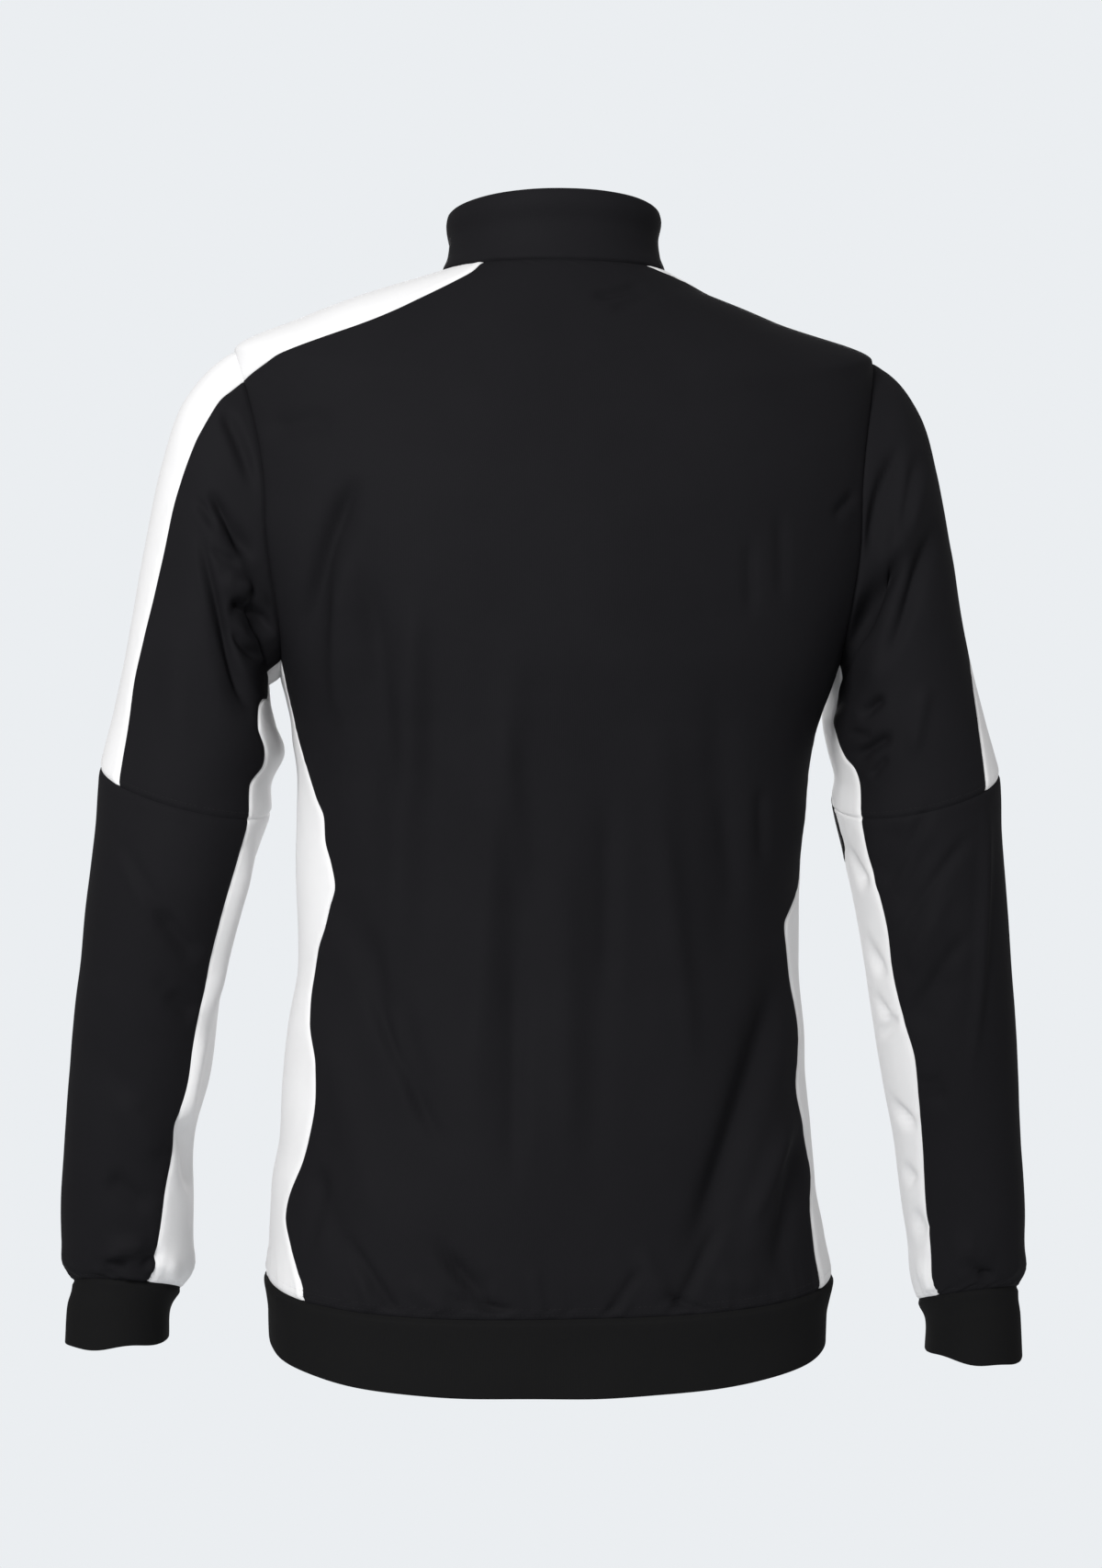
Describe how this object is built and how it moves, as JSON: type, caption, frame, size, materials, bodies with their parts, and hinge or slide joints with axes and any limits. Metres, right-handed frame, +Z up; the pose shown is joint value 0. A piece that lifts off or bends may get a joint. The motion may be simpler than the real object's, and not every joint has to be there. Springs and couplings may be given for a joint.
{
  "type": "track jacket",
  "caption": "Track jacket in worn form: stand collar, full front zip, contrast side, shoulder and sleeve panels, banded hem and cuffs.",
  "frame": {"origin": "middle of the neck, at the height where the neck seam meets the shoulders, where the wearer's shoulders carry the jacket", "axes": "+X to the wearer's left, -Y to the wearer's front, +Z up along the body from hem to collar"},
  "size_m": [0.6328, 0.2503, 0.7497],
  "materials": {
    "black_knit": "smooth polyester knit, soft sheen",
    "black_rib": "matt doubled knit band",
    "white_knit": "smooth polyester knit, soft sheen",
    "zip_tape": "woven tape",
    "dark_metal": "dark, satin"
  },
  "bodies": {
    "jacket": {"back_panel": "black_knit", "collar": "black_knit", "hem_band": "black_rib", "front_panel_left": "black_knit", "sleeve_upper_back_left": "black_knit", "sleeve_upper_front_left": "black_knit", "sleeve_lower_left": "black_knit", "side_panel_left": "white_knit", "shoulder_stripe_left": "white_knit", "sleeve_stripe_left": "white_knit", "underarm_upper_left": "white_knit", "underarm_lower_left": "white_knit", "cuff_left": "black_rib", "zip_tape_left": "zip_tape", "front_panel_right": "black_knit", "sleeve_upper_back_right": "black_knit", "sleeve_upper_front_right": "black_knit", "sleeve_lower_right": "black_knit", "side_panel_right": "white_knit", "shoulder_stripe_right": "white_knit", "sleeve_stripe_right": "white_knit", "underarm_upper_right": "white_knit", "underarm_lower_right": "white_knit", "cuff_right": "black_rib", "zip_tape_right": "zip_tape", "zip_slider": "dark_metal"},
    "pull_tab": {"zip_pull_tab": "dark_metal"}
  },
  "joints": [
    {"name": "pull_tab_swing", "type": "hinge", "parent": "jacket", "child": "pull_tab", "pos_m": [0, -0.05768, -0.02096], "axis": [-1, 0, 0], "range_deg": [0, 120]}
  ]
}
